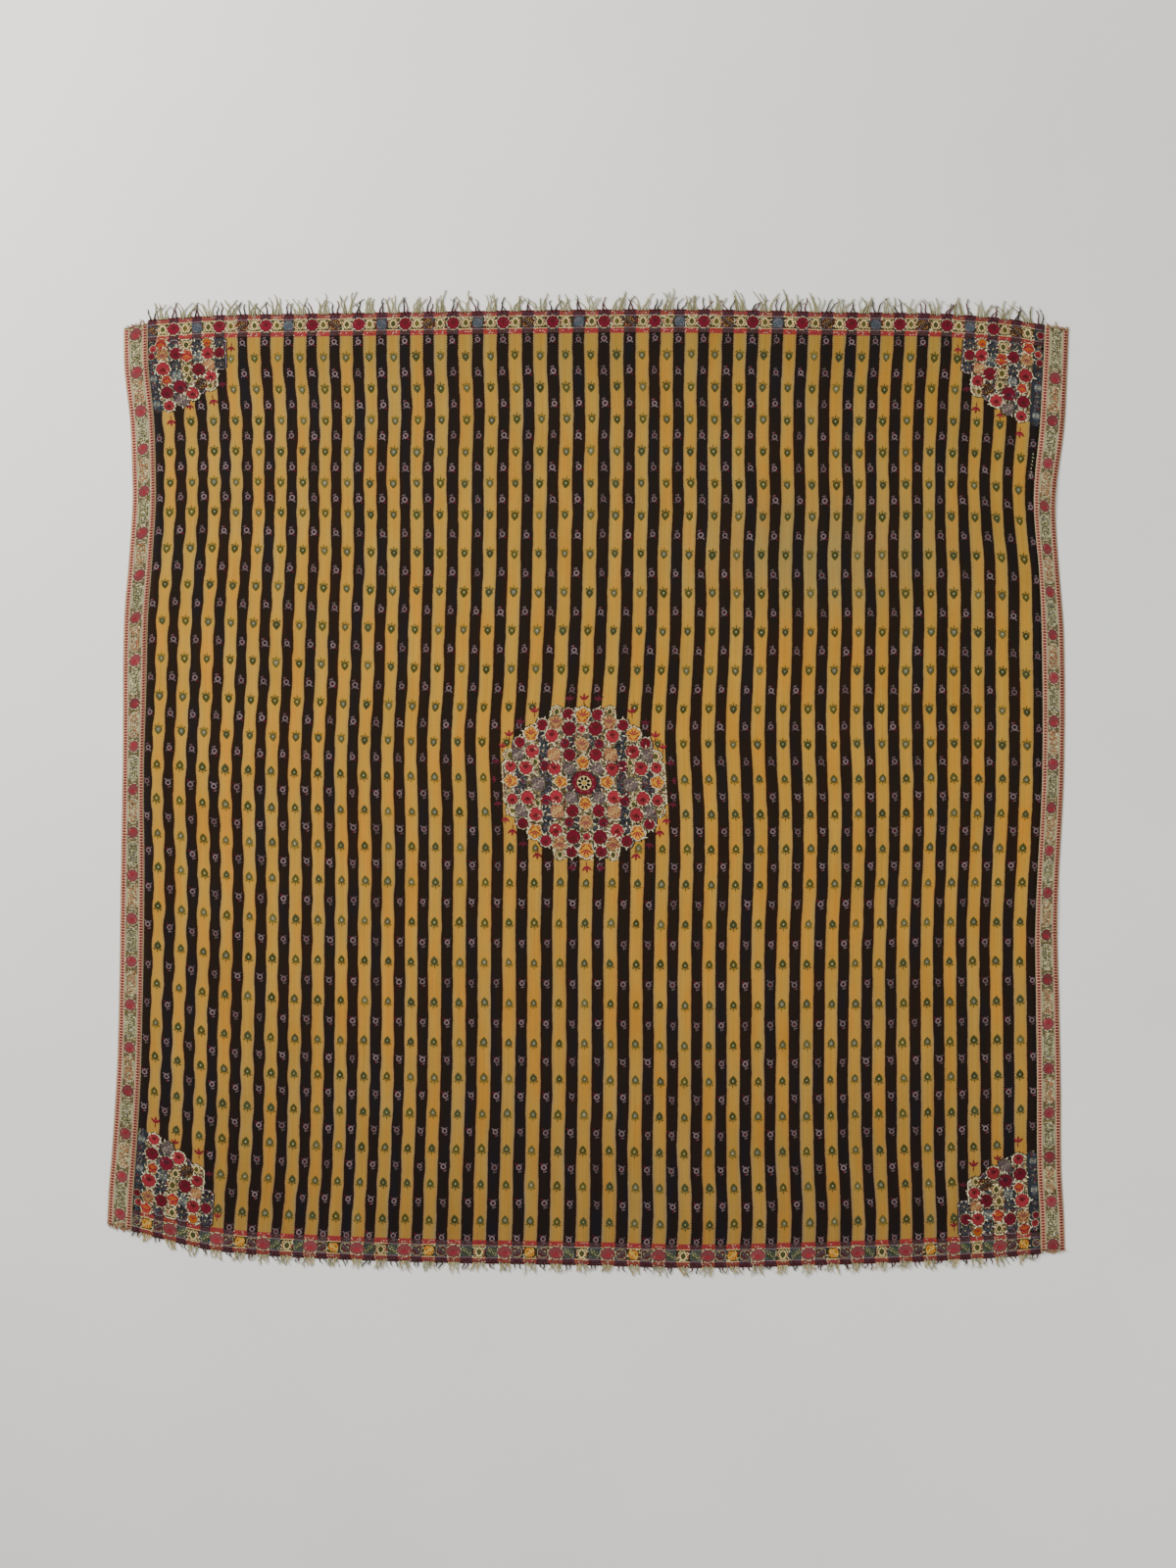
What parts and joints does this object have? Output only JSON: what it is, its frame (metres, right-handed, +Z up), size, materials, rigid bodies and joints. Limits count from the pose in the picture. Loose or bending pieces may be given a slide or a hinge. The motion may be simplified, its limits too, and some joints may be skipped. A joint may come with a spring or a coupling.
{
  "type": "moon shawl laid flat",
  "caption": "Square striped wool shawl with a round centre medallion, quarter medallions, sewn side borders and fringed ends, laid flat.",
  "frame": {"origin": "on the resting surface, under the middle of the laid shawl", "axes": "+X across the stripes, +Y along the stripes towards the end with the longer fringe, +Z up, out of the right side of the cloth"},
  "size_m": [1.7963, 1.8521, 0.0051],
  "materials": {
    "field": "twill tapestry wool in yellow and black-brown stripes with small woven flowers",
    "side_border": "fine woven strip in salmon pink and cream with roses and scrolls",
    "fringe": "loose, undyed and yellow wool warp ends"
  },
  "bodies": {
    "root": {"field": "field", "side_border_left": "side_border", "side_border_right": "side_border", "fringe_top": "fringe", "fringe_bottom": "fringe", "fray_top_left": "fringe", "fray_top_right": "fringe", "fray_bottom_left": "fringe", "fray_bottom_right": "fringe"}
  },
  "joints": []
}
